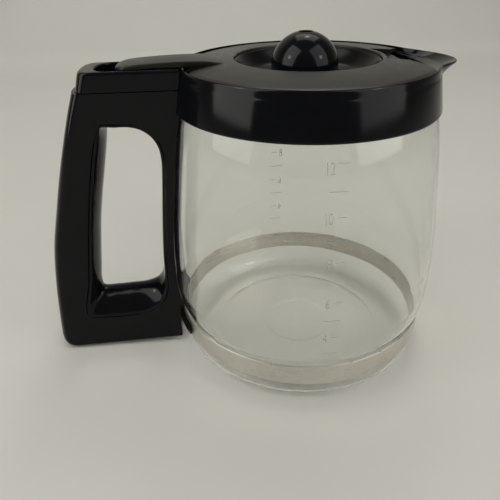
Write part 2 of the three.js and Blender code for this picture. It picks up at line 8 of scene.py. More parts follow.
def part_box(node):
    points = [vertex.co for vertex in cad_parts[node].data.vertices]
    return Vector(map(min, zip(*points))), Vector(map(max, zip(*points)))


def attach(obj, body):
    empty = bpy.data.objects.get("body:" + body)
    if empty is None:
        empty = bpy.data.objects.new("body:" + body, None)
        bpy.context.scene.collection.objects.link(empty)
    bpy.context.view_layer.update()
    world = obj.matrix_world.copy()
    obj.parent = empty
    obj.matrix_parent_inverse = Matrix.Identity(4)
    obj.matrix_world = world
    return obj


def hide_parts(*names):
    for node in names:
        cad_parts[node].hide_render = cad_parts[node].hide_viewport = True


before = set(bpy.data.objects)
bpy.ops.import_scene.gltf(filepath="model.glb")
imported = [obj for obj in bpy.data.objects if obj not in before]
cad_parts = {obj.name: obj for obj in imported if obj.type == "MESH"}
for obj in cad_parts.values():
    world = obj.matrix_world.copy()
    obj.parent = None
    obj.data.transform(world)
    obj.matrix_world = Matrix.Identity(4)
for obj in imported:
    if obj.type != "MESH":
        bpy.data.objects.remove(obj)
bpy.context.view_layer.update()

MM = 0.001
TURN = 2 * math.pi


def low(node):
    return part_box(node)[0] / MM


def high(node):
    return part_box(node)[1] / MM


# ---- Dimensions, read from the CAD boxes where a box gives them ---------------------------------
GAP = 0.3
JAR_WALL = 2.2
NECK_TOP = high("glass_jar").z
NECK_R = 57.2
FOOT_R = 57.6
BASE_ROUND = 10.6
BAND_LOW, BAND_HIGH = low("jar_band").z, high("jar_band").z
BAND_OUT = high("jar_band").x
BAND_IN = BAND_OUT - 0.6
EAR_END = low("jar_band").x
COLLAR_LOW = low("collar").z
RIM = high("collar").z
COLLAR_R_LOW = high("collar").y
COLLAR_R_RIM = 60.5
SPOUT_REACH = high("collar").x - COLLAR_R_RIM
SPOUT_DROOP = 0.9
SPOUT_HALF = math.radians(25)
LEDGE = 153.4
HANDLE_HALF = high("handle_body").y
SEAM = high("handle_body").z
HINGE_X = (low("hinge_pin").x + high("hinge_pin").x) / 2
HINGE_Z = (low("hinge_pin").z + high("hinge_pin").z) / 2
LID_R = high("lid_cover").y
DISH_R = high("lid_dish").y + GAP
KNOB_X = (low("lid_knob").x + high("lid_knob").x) / 2
KNOB_BASE, KNOB_TOP = low("lid_knob").z, high("lid_knob").z + 0.2
SKIRT_R = high("lid_underside").y


# ---- Shape helpers ------------------------------------------------------------------------------
def spline(keys, count, closed=False):
    """Points along a centripetal curve through the keys."""
    n = len(keys)
    spans = n if closed else n - 1

    def key(j):
        if closed:
            return Vector(keys[j % n])
        if j < 0:
            return 2 * Vector(keys[0]) - Vector(keys[1])
        if j >= n:
            return 2 * Vector(keys[-1]) - Vector(keys[-2])
        return Vector(keys[j])

    points = []
    for i in range(count):
        u = spans * i / (count if closed else count - 1)
        k = min(int(u), spans - 1)
        w = u - k
        p0, p1, p2, p3 = (key(k + j) for j in (-1, 0, 1, 2))
        d0, d1, d2 = (math.sqrt((b - a).length) for a, b in ((p0, p1), (p1, p2), (p2, p3)))
        t1 = ((p1 - p0) / d0 - (p2 - p0) / (d0 + d1) + (p2 - p1) / d1) * d1
        t2 = ((p2 - p1) / d1 - (p3 - p1) / (d1 + d2) + (p3 - p2) / d2) * d1
        w2, w3 = w * w, w * w * w
        points.append(tuple(
            p1 * (2 * w3 - 3 * w2 + 1) + t1 * (w3 - 2 * w2 + w)
            + p2 * (3 * w2 - 2 * w3) + t2 * (w3 - w2)
        ))
    return points


def filleted(points, radius, steps=4, closed=True):
    """Rounds the corners of a polyline; radius is one number or one per corner."""
    n = len(points)
    radii = radius if isinstance(radius, (list, tuple)) else [radius] * n
    out = []
    for i, corner in enumerate(points):
        v = Vector(corner)
        if not closed and i in (0, n - 1) or radii[i] <= 0:
            out += [tuple(v)] * (1 if not closed and i in (0, n - 1) else steps + 1)
            continue
        to_a = Vector(points[i - 1]) - v
        to_b = Vector(points[(i + 1) % n]) - v
        a = v + to_a.normalized() * min(radii[i], 0.45 * to_a.length)
        b = v + to_b.normalized() * min(radii[i], 0.45 * to_b.length)
        for s in range(steps + 1):
            u = s / steps
            out.append(tuple(a * (1 - u) ** 2 + v * 2 * u * (1 - u) + b * u * u))
    return out


def grown(outline, distance):
    """Moves each point of a closed outline outwards, whichever way it runs."""
    n = len(outline)
    area = sum(
        outline[i - 1][0] * outline[i][1] - outline[i][0] * outline[i - 1][1] for i in range(n)
    )
    side = distance * math.copysign(1, area)
    out = []
    for i, (x, z) in enumerate(outline):
        x0, z0 = outline[i - 1]
        x1, z1 = outline[(i + 1) % n]
        length = math.hypot(x1 - x0, z1 - z0) or 1
        out.append((x + side * (z1 - z0) / length, z - side * (x1 - x0) / length))
    return out


def lathe(profile, segments=192):
    """A closed or axis-to-axis profile of (radius, height) turned about Z."""
    verts, faces, rings = [], [], []
    for r, z in profile:
        start = len(verts)
        if r < 1e-6:
            verts.append((0, 0, z))
            rings.append([start] * segments)
        else:
            verts += [
                (r * math.cos(TURN * s / segments), r * math.sin(TURN * s / segments), z)
                for s in range(segments)
            ]
            rings.append(list(range(start, start + segments)))
    for a, b in zip(rings, rings[1:] + rings[:1]):
        for s in range(segments):
            n = (s + 1) % segments
            face = list(dict.fromkeys((a[s], a[n], b[n], b[s])))
            if len(face) > 2:
                faces.append(face)
    return verts, faces


def skinned(rings, closed=False, caps=True):
    """Quads between rings of equally many points; closed joins the last ring to the first."""
    count = len(rings[0])
    verts = [p for ring in rings for p in ring]
    faces = []
    pairs = list(range(len(rings) - 1)) + ([len(rings) - 1] if closed else [])
    for r in pairs:
        a, b = r * count, ((r + 1) % len(rings)) * count
        for i in range(count):
            j = (i + 1) % count
            faces.append((a + i, a + j, b + j, b + i))
    if caps and not closed:
        faces.append(tuple(reversed(range(count))))
        faces.append(tuple(range((len(rings) - 1) * count, len(rings) * count)))
    return verts, faces


def looped(outer_at, inner_at, stations):
    """A slab with one hole, skinned across Y: outer_at(y) and inner_at(y) are matching outlines."""
    count = len(outer_at(stations[0]))
    verts, faces = [], []
    for edge_at in (outer_at, inner_at):
        for y in stations:
            verts += [(x, y, z) for x, z in edge_at(y)]
    inner = count * len(stations)
    for base in (0, inner):
        for s in range(len(stations) - 1):
            a, b = base + s * count, base + (s + 1) * count
            for i in range(count):
                j = (i + 1) % count
                faces.append((a + i, a + j, b + j, b + i))
    for s in (0, len(stations) - 1):
        for i in range(count):
            j = (i + 1) % count
            a, b = s * count, inner + s * count
            faces.append((a + i, a + j, b + j, b + i))
    return verts, faces


def mesh_object(name, verts, faces):
    mesh = bpy.data.meshes.new(name)
    mesh.from_pydata([tuple(c * MM for c in v) for v in verts], [], faces)
    bm = bmesh.new()
    bm.from_mesh(mesh)
    bmesh.ops.remove_doubles(bm, verts=bm.verts, dist=2e-7)
    bmesh.ops.dissolve_degenerate(bm, edges=bm.edges, dist=1e-7)
    bmesh.ops.recalc_face_normals(bm, faces=bm.faces)
    bm.to_mesh(mesh)
    bm.free()
    obj = bpy.data.objects.new(name, mesh)
    bpy.context.scene.collection.objects.link(obj)
    return obj


def combined(obj, operation, *cutters):
    """Applies booleans to obj and deletes the tools."""
    for tool in cutters:
        modifier = obj.modifiers.new("cut", "BOOLEAN")
        modifier.operation = operation
        modifier.solver = "EXACT"
        modifier.object = tool
        bpy.context.view_layer.update()
        done = bpy.data.meshes.new_from_object(
            obj.evaluated_get(bpy.context.evaluated_depsgraph_get())
        )
        obj.modifiers.clear()
        obj.data = done
        bpy.data.objects.remove(tool)
    return obj


def softened(obj, width, angle=35, segments=3):
    """Rounds the edges left by cuts."""
    bevel = obj.modifiers.new("edges", "BEVEL")
    bevel.width = width * MM
    bevel.segments = segments
    bevel.limit_method = "ANGLE"
    bevel.angle_limit = math.radians(angle)
    bevel.use_clamp_overlap = True
    bevel.harden_normals = False
    return obj


def placed(obj, body, nodes, material, sharp=38, weighted=True):
    """Shades, finishes and registers a piece."""
    obj.data.shade_smooth()
    obj.data.set_sharp_from_angle(angle=math.radians(sharp))
    if weighted:
        normals = obj.modifiers.new("normals", "WEIGHTED_NORMAL")
        normals.keep_sharp = True
        normals.weight = 50
    obj.data.materials.clear()
    obj.data.materials.append(material)
    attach(obj, body)
    if nodes:
        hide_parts(*nodes)
    return obj


def prism(outline, z0, z1):
    return mesh_object("tool", *skinned([[(x, y, z) for x, y in outline] for z in (z0, z1)]))


def block(x0, x1, y0, y1, z0, z1):
    return prism([(x0, y0), (x1, y0), (x1, y1), (x0, y1)], z0, z1)


# ---- Materials ----------------------------------------------------------------------------------
class Look:
    """A node material around one Principled shader."""

    def __init__(self, name, **sockets):
        self.material = bpy.data.materials.new(name)
        self.material.use_nodes = True
        self.tree = self.material.node_tree
        self.shader = self.tree.nodes["Principled BSDF"]
        for socket, value in sockets.items():
            self.shader.inputs[socket.replace("_", " ")].default_value = value
        self.place = self.tree.nodes.new("ShaderNodeTexCoord").outputs["Object"]

    def node(self, kind, **settings):
        made = self.tree.nodes.new(kind)
        for key, value in settings.items():
            setattr(made, key, value)
        return made

    def link(self, output, target):
        self.tree.links.new(output, target)

    def noise(self, scale, detail=4.0, rough=0.55, source=None):
        made = self.node("ShaderNodeTexNoise")
        made.inputs["Scale"].default_value = scale
        made.inputs["Detail"].default_value = detail
        made.inputs["Roughness"].default_value = rough
        self.link(source or self.place, made.inputs["Vector"])
        return made.outputs["Fac"]

    def ranged(self, value, to_low, to_high, from_low=0.3, from_high=0.7):
        made = self.node("ShaderNodeMapRange")
        self.link(value, made.inputs["Value"])
        for socket, number in (
            ("From Min", from_low), ("From Max", from_high), ("To Min", to_low), ("To Max", to_high)
        ):
            made.inputs[socket].default_value = number
        return made.outputs["Result"]

    def ramp(self, value, stops):
        made = self.node("ShaderNodeValToRGB")
        self.link(value, made.inputs["Fac"])
        elements = made.color_ramp.elements
        while len(elements) < len(stops):
            elements.new(0.5)
        for element, (position, colour) in zip(elements, stops):
            element.position = position
            element.color = (*colour, 1)
        return made.outputs["Color"]

    def maths(self, operation, a, b=None):
        made = self.node("ShaderNodeMath", operation=operation)
        for socket, value in zip(made.inputs, (a, b)):
            if value is None:
                continue
            if isinstance(value, (int, float)):
                socket.default_value = value
            else:
                self.link(value, socket)
        return made.outputs["Value"]

    def bump(self, height, strength, distance, under=None):
        made = self.node("ShaderNodeBump")
        made.inputs["Strength"].default_value = strength
        made.inputs["Distance"].default_value = distance
        self.link(height, made.inputs["Height"])
        if under is not None:
            self.link(under, made.inputs["Normal"])
        self.link(made.outputs["Normal"], self.shader.inputs["Normal"])
        return made.outputs["Normal"]

    def set(self, socket, output):
        self.link(output, self.shader.inputs[socket])


def glass_look():
    look = Look("jar_glass", IOR=1.5, Transmission_Weight=1.0, Roughness=0.0)
    tint = look.ramp(look.noise(22), [(0.3, (0.953, 0.959, 0.948)), (0.7, (0.965, 0.967, 0.957))])
    look.set("Base Color", tint)
    look.set("Roughness", look.ranged(look.noise(160, 6), 0.0, 0.018, 0.45, 0.8))
    look.bump(look.noise(14, 2.0, 0.4), 0.10, 0.004)
    look.shader.inputs["Specular Tint"].default_value = (0.5, 0.5, 0.5, 1)
    return look.material


def plastic_look(name, base, rough, grain_scale, grain, shine, dust=0.02):
    look = Look(name, IOR=1.49, Specular_IOR_Level=shine)
    shade = look.ramp(
        look.noise(70, 5),
        [(0.35, tuple(0.85 * c for c in base)), (0.7, tuple(1.2 * c for c in base))],
    )
    specks = look.node("ShaderNodeTexVoronoi", feature="F1")
    specks.inputs["Scale"].default_value = 260
    look.link(look.place, specks.inputs["Vector"])
    dots = look.ranged(specks.outputs["Distance"], 1.0, 0.0, 0.03, 0.09)
    patches = look.ranged(look.noise(38, 3), 0.0, 1.0, 0.48, 0.66)
    mark = look.maths("MULTIPLY", look.maths("MULTIPLY", dots, patches), dust)
    mix = look.node("ShaderNodeMix", data_type="RGBA")
    look.link(mark, mix.inputs["Factor"])
    look.link(shade, mix.inputs["A"])
    mix.inputs["B"].default_value = (0.32, 0.31, 0.28, 1)
    look.set("Base Color", mix.outputs["Result"])
    worn = look.ranged(look.noise(24, 6, 0.62), rough * 0.8, rough * 1.3)
    look.set("Roughness", look.maths("ADD", worn, look.maths("MULTIPLY", mark, 4.0)))
    fine = look.bump(look.noise(grain_scale, 3), grain, 0.0002)
    look.bump(look.noise(60, 2, 0.4), 0.05, 0.0008, fine)
    return look.material


def steel_look(name, base, streaks, rough=0.3):
    """Brushed steel, with its streaks running round Z or, for small parts, fine turning marks."""
    look = Look(name, Metallic=1.0)
    parts = look.node("ShaderNodeSeparateXYZ")
    look.link(look.place, parts.inputs["Vector"])
    around = look.maths("ARCTAN2", parts.outputs["Y"], parts.outputs["X"])
    joined = look.node("ShaderNodeCombineXYZ")
    look.link(look.maths("MULTIPLY", around, streaks), joined.inputs["X"])
    look.link(look.maths("MULTIPLY", parts.outputs["Z"], 2600.0), joined.inputs["Y"])
    lines = look.noise(1.0, 5, 0.6, joined.outputs["Vector"])
    cloud = look.noise(26, 4)
    look.set("Base Color", look.ramp(
        look.maths("ADD", look.maths("MULTIPLY", lines, 0.6), look.maths("MULTIPLY", cloud, 0.4)),
        [(0.3, tuple(0.82 * c for c in base)), (0.72, tuple(min(1, 1.12 * c) for c in base))],
    ))
    look.set("Roughness", look.ranged(lines, rough * 0.75, rough * 1.35))
    look.bump(lines, 0.18, 0.0001)
    look.shader.inputs["Anisotropic"].default_value = 0.5
    return look.material


def flat_look(name, base, rough, scale, strength, distance, mottle=(0.9, 1.06)):
    look = Look(name, Roughness=rough)
    look.set("Base Color", look.ramp(
        look.noise(scale * 0.25, 5),
        [(0.3, tuple(mottle[0] * c for c in base)),
         (0.7, tuple(min(1, mottle[1] * c) for c in base))],
    ))
    look.set("Roughness", look.ranged(look.noise(scale * 0.5), rough * 0.9, min(1, rough * 1.1)))
    look.bump(look.noise(scale, 6), strength, distance)
    return look.material


def set_constant(material, socket, value):
    material.node_tree.nodes["Principled BSDF"].inputs[socket].default_value = value


GLASS = glass_look()
GLOSS = plastic_look(
    "gloss_black_plastic", base=(0.0033, 0.0036, 0.0047), rough=0.12, grain_scale=900, grain=0.02,
    shine=0.17,
)
SATIN = plastic_look(
    "satin_black_plastic", base=(0.008, 0.0078, 0.0065), rough=0.3, grain_scale=1500, grain=0.10,
    shine=0.27,
)
set_constant(SATIN, "Specular Tint", (1, 1, 0.9, 1))
BOWL = plastic_look(
    "bowl_black_plastic", base=(0.003, 0.0031, 0.0033), rough=0.22, grain_scale=1200, grain=0.04,
    shine=0.17,
)
BAND = steel_look("brushed_steel", base=(0.67, 0.645, 0.59), streaks=7.0)
FIXING = steel_look("plated_steel", base=(0.66, 0.66, 0.65), streaks=60.0, rough=0.26)
RUBBER = flat_look(
    "seal_rubber", base=(0.03, 0.03, 0.03), rough=0.85, scale=700, strength=0.3, distance=0.0002,
)
PRINT = flat_look(
    "grey_print", base=(0.5, 0.5, 0.475), rough=0.6, scale=900, strength=0.15, distance=0.00005,
)
set_constant(PRINT, "Alpha", 0.45)


# ---- Glass jar ----------------------------------------------------------------------------------
PRINT_LIFT = 0.03
PRINT_THICK = 0.04
JAR_SIDE = [
    (FOOT_R + BASE_ROUND, 26.6), (70.2, 32), (71.4, 40), (71.7, 50), (71.2, 62), (70.3, 76),
    (68.9, 89), (66.7, 108.4), (64.6, 124), (62.9, 132), (61, 138.6),
]


def jar_side():
    """The wall's outside, kept within the CAD jar's facets by the thickness of the print."""
    widest = high("glass_jar").x - PRINT_LIFT - PRINT_THICK - 0.12
    return [(min(r, widest), z) for r, z in spline(JAR_SIDE, 72)]


UNDER_BASE = [(0, 0), (18.5, 0), (21.3, 0.6), (45.9, 0.6), (49.2, 0), (FOOT_R - 2, 0)]
CORNER = [(FOOT_R - 2, 0), (58.8, 0), (61.4, 0.9), (66.9, 6.2), (68.2, 11.4), (68.2, 20)]
INNER_CORNER = [(66, 24), (66, 11), (65.2, 6.8), (60.7, 2.3), (58.3, 1.6), (56.5, 1.6)]
FLOOR_TOP = 2.2
OVER_BASE = [(56.2, 1.6), (55.1, 1.7), (54, FLOOR_TOP), (22.4, FLOOR_TOP), (19.6, FLOOR_TOP - 0.4),
             (0, FLOOR_TOP - 0.4)]


def make_jar():
    side = jar_side()
    disc = filleted(UNDER_BASE, 2.0, 6, closed=False)
    corner = filleted(CORNER, [0, 1.6, 1.6, 4.4, 3.4, 0], 6, closed=False)
    shoulder = filleted(
        [side[-1], (58.9, 141.8), (NECK_R, 144.6), (NECK_R, NECK_TOP),
         (NECK_R - JAR_WALL, NECK_TOP), (NECK_R - JAR_WALL, 144), (57, 140.8),
         (side[-1][0] - JAR_WALL, side[-1][1])],
        [0, 2.2, 2.2, 1.0, 1.0, 2.2, 2.2, 0], 6, closed=False,
    )
    inner_corner = filleted(INNER_CORNER, [0, 3.4, 4.4, 1.6, 1.2, 0], 6, closed=False)
    inside = [(r - JAR_WALL, z) for r, z in reversed(side)]
    return [
        *disc[:-1],
        *corner,
        *side[:-1],
        *shoulder,
        *inside[1:],
        *inner_corner,
        *filleted(OVER_BASE, [0, 0.5, 0.5, 1.6, 1.6, 0], 5, closed=False),
    ]


jar = mesh_object("jar_glass", *lathe(make_jar(), 256))
placed(jar, "carafe", ["glass_jar"], GLASS, sharp=80, weighted=False)


WALL_LINE = jar_side()


def jar_radius(z):
    """Outside radius of the jar's wall at a height."""
    for (r0, z0), (r1, z1) in zip(WALL_LINE, WALL_LINE[1:]):
        if z <= z1:
            return r0 + (r1 - r0) * (z - z0) / (z1 - z0)
    return WALL_LINE[-1][0]


# ---- Graduations: generic cup numbers and ticks, printed on the glass ---------------------------
CUP_HEIGHTS = {
    3: 36.4, 4: 46.1, 5: 55.9, 6: 65.7, 7: 75.5, 8: 85.5, 9: 95.7, 10: 106.0, 11: 117.0, 12: 128.4,
}
TICK_RIGHT = 6.2
LONG_TICK, SHORT_TICK, TICK_THICK = 8.2, 4.4, 0.34
DIGIT_RIGHT, DIGIT_TALL, DIGIT_NARROWING = 0.5, 5.0, 0.62
DIGIT_RISE, TOP_DIGIT_RISE = 2.1, 0.5          # from the tick up to the top of its number


def on_wall(u, z, lift, middle):
    """A point of a flat print wrapped on the jar's wall; u runs to the right seen from outside."""
    radius = jar_radius(z) + lift
    angle = middle + u / radius
    return (radius * math.cos(angle), radius * math.sin(angle), z)


def wrapped(name, outline_mesh, middle):
    """Turns a flat mesh in (u, z) into a thin printed skin on the glass."""
    bm = bmesh.new()
    bm.from_mesh(outline_mesh)
    bmesh.ops.triangulate(bm, faces=bm.faces)
    verts = [v.co.copy() for v in bm.verts]
    faces = [tuple(v.index for v in f.verts) for f in bm.faces]
    edges = {}
    for f in faces:
        for a, b in zip(f, f[1:] + f[:1]):
            edges[(a, b)] = edges.get((a, b), 0) + 1
    rim = [(a, b) for a, b in edges if (b, a) not in edges]
    n = len(verts)
    points = [on_wall(v.x, v.y, PRINT_LIFT + PRINT_THICK, middle) for v in verts]
    points += [on_wall(v.x, v.y, PRINT_LIFT, middle) for v in verts]
    skin = faces + [tuple(n + i for i in reversed(f)) for f in faces]
    skin += [(b, a, a + n, b + n) for a, b in rim]
    bm.free()
    return mesh_object(name, points, skin)


def digits_mesh(text, right, top):
    curve = bpy.data.curves.new("digits", "FONT")
    curve.body = text
    curve.align_x = "RIGHT"
    curve.resolution_u = 6
    holder = bpy.data.objects.new("digits", curve)
    bpy.context.scene.collection.objects.link(holder)
    bpy.context.view_layer.update()
    flat = bpy.data.meshes.new_from_object(
        holder.evaluated_get(bpy.context.evaluated_depsgraph_get())
    )
    bpy.data.objects.remove(holder)
    tall = max(v.co.y for v in flat.vertices)
    right_edge = max(v.co.x for v in flat.vertices)
    k = DIGIT_TALL / tall
    for v in flat.vertices:
        u = right + (v.co.x - right_edge) * k * DIGIT_NARROWING
        v.co = Vector((u, top + (v.co.y - tall) * k, 0))
    return flat


def tick_mesh(u0, u1, z):
    half = TICK_THICK / 2
    steps = 8
    us = [u0 + (u1 - u0) * i / steps for i in range(steps + 1)]
    flat = bpy.data.meshes.new("tick")
    flat.from_pydata(
        [(u, z + s * half, 0) for u in us for s in (-1, 1)], [],
        [(2 * i, 2 * i + 2, 2 * i + 3, 2 * i + 1) for i in range(steps)],
    )
    return flat


def make_column(side, middle):
    for cups, z in CUP_HEIGHTS.items():
        length = LONG_TICK if cups % 2 else SHORT_TICK
        flat = tick_mesh(TICK_RIGHT - length, TICK_RIGHT, z)
        tick = wrapped(f"mark_{side}_{cups}_tick", flat, middle)
        placed(tick, "carafe", [], PRINT, weighted=False)
        if cups % 2 == 0:
            rise = TOP_DIGIT_RISE if cups == max(CUP_HEIGHTS) else DIGIT_RISE
            flat = digits_mesh(str(cups), DIGIT_RIGHT, z + rise)
            number = wrapped(f"mark_{side}_{cups}_number", flat, middle)
            placed(number, "carafe", [], PRINT, weighted=False)


make_column("front", -math.pi / 2)
make_column("back", math.pi / 2 + math.radians(2.3))


# ---- Base band: one steel strip with its two ears, and the shoe behind it -----------------------
def make_band():
    """The strip's path in plan runs from one ear's end round the jar to the other's."""
    middle_r = (BAND_IN + BAND_OUT) / 2
    half_slot = 1.7
    start = math.asin(half_slot / middle_r)
    ear = [(EAR_END + 0.3 + i * 1.6, half_slot) for i in range(8)]
    ring = []
    steps = 240
    for i in range(steps + 1):
        a = math.pi - start - (TURN - 2 * start) * i / steps
        ring.append((middle_r * math.cos(a), middle_r * math.sin(a)))
    path = ear + ring + [(x, -y) for x, y in reversed(ear)]
    rings = []
    for i, (x, y) in enumerate(path):
        before = Vector(path[max(i - 1, 0)])
        after = Vector(path[min(i + 1, len(path) - 1)])
        along = (after - before).normalized()
        out = Vector((-along.y, along.x))
        share = 0.0 if math.hypot(x, y) < middle_r + 0.6 else 1.0
        z0 = BAND_LOW + 1.5 * share
        z1 = BAND_HIGH - 1.5 * share
        half = (BAND_OUT - BAND_IN) / 2
        section = filleted([(-half, z0), (half, z0), (half, z1), (-half, z1)], 0.22, 3)
        rings.append([(x + out.x * t, y + out.y * t, z) for t, z in section])
    return skinned(rings)


band = mesh_object("base_band", *make_band())
placed(band, "carafe", ["jar_band"], BAND, sharp=50, weighted=False)

SHOE_HALF = math.radians(22)
SHOE_OUT = -low("band_bracket").x


def shoe_ring(inset, z):
    steps = 40
    outer, inner = [], []
    for i in range(steps + 1):
        angle = math.pi - SHOE_HALF + 2 * SHOE_HALF * i / steps
        along = min(1, max(0, (abs(2 * i / steps - 1) - 0.35) / 0.65))
        ease = along * along * (3 - 2 * along)
        radius = SHOE_OUT + (BAND_OUT + 1.5 - SHOE_OUT) * ease - inset
        outer.append((radius * math.cos(angle), radius * math.sin(angle), z))
        radius = BAND_OUT + GAP + inset
        inner.insert(0, (radius * math.cos(angle), radius * math.sin(angle), z))
    return outer + inner


def make_shoe():
    z0, z1 = low("band_bracket").z, high("band_bracket").z
    levels = [
        (0.5, z0), (0.15, z0 + 0.15), (0, z0 + 0.5), (0, z1 - 0.5), (0.15, z1 - 0.15), (0.5, z1),
    ]
    return skinned([shoe_ring(inset, z) for inset, z in levels])


shoe = combined(
    mesh_object("band_shoe", *make_shoe()), "DIFFERENCE", block(-80, -60, -2.6, 2.6, 15.6, 24.8),
    block(-80, -50, 11.5, 40, 10, 16.2), block(-80, -50, 11.5, 40, 21.6, 30),
    block(-80, -50, -40, -11.5, 10, 16.2), block(-80, -50, -40, -11.5, 21.6, 30),
)
softened(shoe, 0.25)
placed(shoe, "carafe", ["band_bracket"], GLOSS)


# ---- Collar and pouring lip ---------------------------------------------------------------------
def collar_section(angle):
    along = angle / SPOUT_HALF
    bulge = math.cos(along * math.pi / 2) ** 1.7 if abs(along) < 1 else 0
    reach, droop = SPOUT_REACH * bulge, SPOUT_DROOP * bulge
    corners = [
        ((COLLAR_R_LOW - 0.4, COLLAR_LOW), 0.2),
        ((COLLAR_R_LOW, COLLAR_LOW + 0.6), 0.5),
        ((COLLAR_R_RIM + 0.75, RIM - 4.2 - 2.2 * bulge), 1.2),
        ((COLLAR_R_RIM + 0.45 + 0.48 * reach, RIM - 3.6 - 0.8 * bulge), 1.2),
        ((COLLAR_R_RIM + reach, RIM - 0.7 - droop), 0.5),
        ((COLLAR_R_RIM - 0.5 + reach, RIM - droop), 0.3),
        ((59.5 + 0.97 * reach, RIM - 1.08 * droop), 0.3),
        ((59.4 + 0.36 * reach, LEDGE - 0.6 * bulge), 0.7),
        ((56.3, LEDGE - bulge), 0.5),
        ((56.3, 151.4), 0.3),
        ((58.8, 151.4), 0.1),
        ((58.8, 144.2), 0.4),
        ((61, 141.2), 0.8),
        ((COLLAR_R_LOW - 1.6, COLLAR_LOW), 0.2),
    ]
    points = filleted([p for p, _ in corners], [r for _, r in corners], 3)
    return [(r * math.cos(angle), r * math.sin(angle), z) for r, z in points]


def make_collar():
    fine, coarse = 96, 200
    rest = TURN - 2 * SPOUT_HALF
    angles = [SPOUT_HALF * (2 * i / fine - 1) for i in range(fine)]
    angles += [SPOUT_HALF + rest * i / coarse for i in range(coarse)]
    return skinned([collar_section(a) for a in angles], closed=True)


collar = mesh_object("collar_ring", *make_collar())
placed(collar, "carafe", ["collar"], GLOSS, sharp=50, weighted=False)

SEAL = [
    (NECK_R + GAP, 144.9), (58.5, 144.9), (58.5, 151.1), (55.6, 151.1), (55.6, NECK_TOP + GAP),
    (NECK_R + GAP, NECK_TOP + GAP),
]
seal = mesh_object("neck_seal", *lathe(filleted(SEAL, 0.35, 3), 160))
placed(seal, "carafe", ["collar_seal"], RUBBER, weighted=False)

# ---- Handle -------------------------------------------------------------------------------------
GRIP_BACK = [
    (-110.2, SEAM), (-114.3, 135.6), (-122.6, 110.4), (-129.3, 87), (-134.6, 66.8), (-138.7, 42),
    (-141, 21),
]
FOOT_CORNER = [(-142, 9), (-141.7, 5.2), (-140.6, 2.9), (-138.6, 1.9)]
FOOT_SLOPE = 0.035
FOOT_END = -71
END_ROUND = 6
END_POWER = 2.6
OPENING_SIDE = [
    (-99.4, 131.8), (-92, 131.9), (-85.5, 131.8), (-79.4, 130), (-74.6, 126.2), (-71.6, 120.4),
    (-70.8, 113), (-71.4, 104), (-73.7, 79.5), (-75.4, 58.7), (-75.9, 46), (-76.9, 36.6),
    (-80.4, 28.9), (-88.5, 23.4), (-98, 21.8), (-110, 21.5), (-121.4, 22.2), (-122.9, 26.5),
    (-118.8, 44.3), (-115.6, 63.4), (-112.8, 79), (-109.6, 95.1), (-106.2, 109.8), (-101.5, 126.8),
]
OPENING_MIDDLE = [
    (-97.9, 129.2), (-92, 129.4), (-86.3, 129.2), (-80.8, 127.4), (-76.8, 123.9), (-73.9, 118.6),
    (-73, 112), (-73.6, 103), (-76, 79), (-77.6, 58.7), (-78, 49), (-79.2, 43.4),
    (-82.6, 38.2), (-89, 35.7), (-98, 35), (-106, 34.6), (-113.6, 34.9), (-114.6, 38.4),
    (-113.2, 50), (-111.2, 63.4), (-109, 77), (-105.8, 92), (-102.4, 106), (-98.8, 122),
]
OPENING_COUNT = 240
LINER_HALF = high("handle_liner").y
opening_side = spline(OPENING_SIDE, OPENING_COUNT, closed=True)
opening_middle = spline(OPENING_MIDDLE, OPENING_COUNT, closed=True)


def back_offset(y):
    """How far the rounded back lies in from its middle line, at a distance y from it."""
    c = min(1.0, abs(y) / HANDLE_HALF) ** (END_POWER / 2)
    s = math.sqrt(max(0.0, 1 - c * c))
    return END_ROUND * (1 - s ** (2 / END_POWER))


def round_stations(half, steps=20):
    """Stations across Y, crowded towards the rounded sides."""
    ys = [
        half * abs(math.cos(math.pi * i / steps)) ** (2 / END_POWER)
        * math.copysign(1, -math.cos(math.pi * i / steps))
        for i in range(steps + 1)
    ]
    ys[steps // 2] = 0.0
    return ys


def jar_side_x(y, z):
    """The handle's face towards the jar: it hugs the band's shoe, the jar and the collar."""
    if z < 13.9:
        return FOOT_END
    if z < 26.7:
        radius = SHOE_OUT + GAP
    elif z < COLLAR_LOW - 0.4:
        radius = jar_radius(max(z, 27)) + 0.5
    else:
        share = (z - COLLAR_LOW) / (RIM - COLLAR_LOW)
        radius = COLLAR_R_LOW + GAP + (COLLAR_R_RIM - COLLAR_R_LOW) * share
    return -math.sqrt(radius * radius - y * y)


def body_outline(y):
    """Side outline of the handle's shell at station y, from the seam's jar end round the back."""
    off = back_offset(y)
    points = [(jar_side_x(y, SEAM), SEAM), (-80, SEAM), (-90, SEAM), (-99, SEAM)]
    points += [(x + off, z) for x, z in spline(GRIP_BACK, 60)]
    points += [(x + off, z + FOOT_SLOPE * off) for x, z in spline(FOOT_CORNER, 14)]
    x_last, z_last = FOOT_CORNER[-1]
    for x in (-130, -118, -106, -94, -82, FOOT_END):
        points.append((x, z_last + FOOT_SLOPE * (x - x_last)))
    points += [(FOOT_END, 8), (FOOT_END, 13.85)]
    heights = [13.95, 20, 26.6, 26.8, *(30 + 3.5 * i for i in range(30)), 135.3, 135.6, 140, 143]
    points += [(jar_side_x(y, z), z) for z in heights]
    return points


